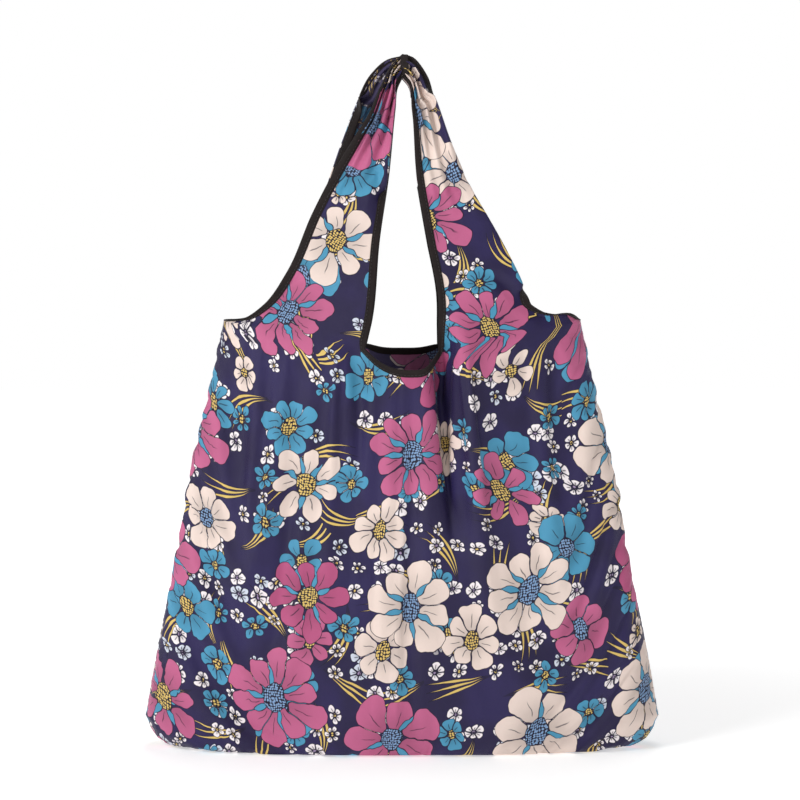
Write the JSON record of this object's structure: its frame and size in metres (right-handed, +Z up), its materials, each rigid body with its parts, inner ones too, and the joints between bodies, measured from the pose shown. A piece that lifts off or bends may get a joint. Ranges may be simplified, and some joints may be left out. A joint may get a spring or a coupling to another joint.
{
  "type": "foldable tote bag",
  "caption": "Foldable shopping tote of light printed polyester with two strap hoops, bound edges and a built-in storage pouch on the inside.",
  "frame": {"origin": "centre of the flat base, on the surface that the bag stands on", "axes": "+Z up towards the handles; the front panel faces -Y and the back panel +Y; +X to the right seen from the front"},
  "size_m": [0.486, 0.1522, 0.657],
  "materials": {
    "printed_cloth": "light satin polyester taffeta, navy and purple ground with an all-over floral print",
    "pouch_cloth": "the same printed polyester taffeta",
    "edge_binding": "matte brown-black woven edge tape, stitched",
    "seam_binding": "matte brown-black woven seam tape",
    "ribbon": "narrow dark brown satin ribbon"
  },
  "bodies": {
    "bag": {"front_body_panel": "printed_cloth", "front_neck_binding": "edge_binding", "front_left_shoulder_binding": "edge_binding", "front_right_shoulder_binding": "edge_binding", "back_body_panel": "printed_cloth", "back_neck_binding": "edge_binding", "back_left_shoulder_binding": "edge_binding", "back_right_shoulder_binding": "edge_binding", "left_seam_binding": "seam_binding", "right_seam_binding": "seam_binding", "base_seam_binding": "seam_binding", "pouch_tab": "seam_binding"},
    "front_handle": {"front_left_strap": "printed_cloth", "front_right_strap": "printed_cloth", "front_handle_outer_binding": "edge_binding", "front_handle_inner_binding": "edge_binding", "front_handle_tape": "edge_binding"},
    "back_handle": {"back_left_strap": "printed_cloth", "back_right_strap": "printed_cloth", "back_handle_outer_binding": "edge_binding", "back_handle_inner_binding": "edge_binding", "back_handle_tape": "edge_binding"},
    "pouch": {"pouch_back_layer": "pouch_cloth", "pouch_front_layer": "pouch_cloth", "pouch_hem": "pouch_cloth"},
    "hang_loop": {"hang_loop": "ribbon"}
  },
  "joints": [
    {"name": "front_handle_fold", "type": "hinge", "parent": "bag", "child": "front_handle", "pos_m": [0, -0.054, 0.43], "axis": [1, 0, 0], "range_deg": [0, 165]},
    {"name": "back_handle_fold", "type": "hinge", "parent": "bag", "child": "back_handle", "pos_m": [0, 0.054, 0.43], "axis": [-1, 0, 0], "range_deg": [0, 165]},
    {"name": "pouch_swing", "type": "hinge", "parent": "bag", "child": "pouch", "pos_m": [0, 0.0563, 0.332], "axis": [-1, 0, 0], "range_deg": [0, 50]},
    {"name": "loop_swing", "type": "hinge", "parent": "pouch", "child": "hang_loop", "pos_m": [0.0801, 0.0505, 0.3295], "axis": [0, -1, 0], "range_deg": [0, 80]}
  ]
}
